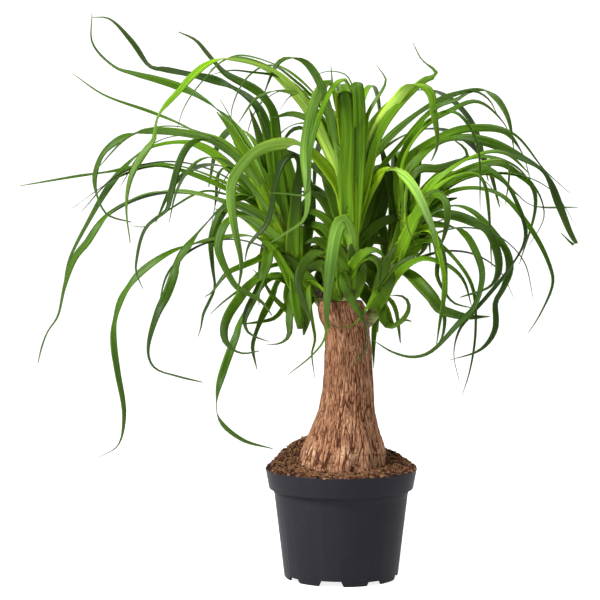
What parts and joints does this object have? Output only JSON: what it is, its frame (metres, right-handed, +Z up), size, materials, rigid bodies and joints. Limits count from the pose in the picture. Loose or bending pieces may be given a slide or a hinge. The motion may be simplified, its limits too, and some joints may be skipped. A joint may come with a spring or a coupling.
{
  "type": "potted ponytail palm",
  "caption": "House plant with a flared corky trunk and leafy shoots of long narrow arching leaves, in soil in a round tapered nursery pot.",
  "frame": {"origin": "where the pot's axis meets the surface that the pot stands on, at the centre of the pot's underside", "axes": "+Z up along the pot's axis, +X to the right and -Y towards the viewer as the plant is seen from the front"},
  "size_m": [0.7135, 0.4131, 0.717],
  "materials": {
    "pot": "black moulded polypropylene, satin",
    "soil": "dark bark and peat mix, rough",
    "trunk": "dry corky bark, matt",
    "leaf_old": "living leaf, semi-matt",
    "leaf_young": "living leaf, semi-matt",
    "leaf_mid": "living leaf, semi-matt"
  },
  "bodies": {
    "root": {"pot": "pot", "soil": "soil", "trunk": "trunk", "shoot_left": "leaf_old", "shoot_middle": "leaf_young", "shoot_right": "leaf_mid"}
  },
  "joints": []
}
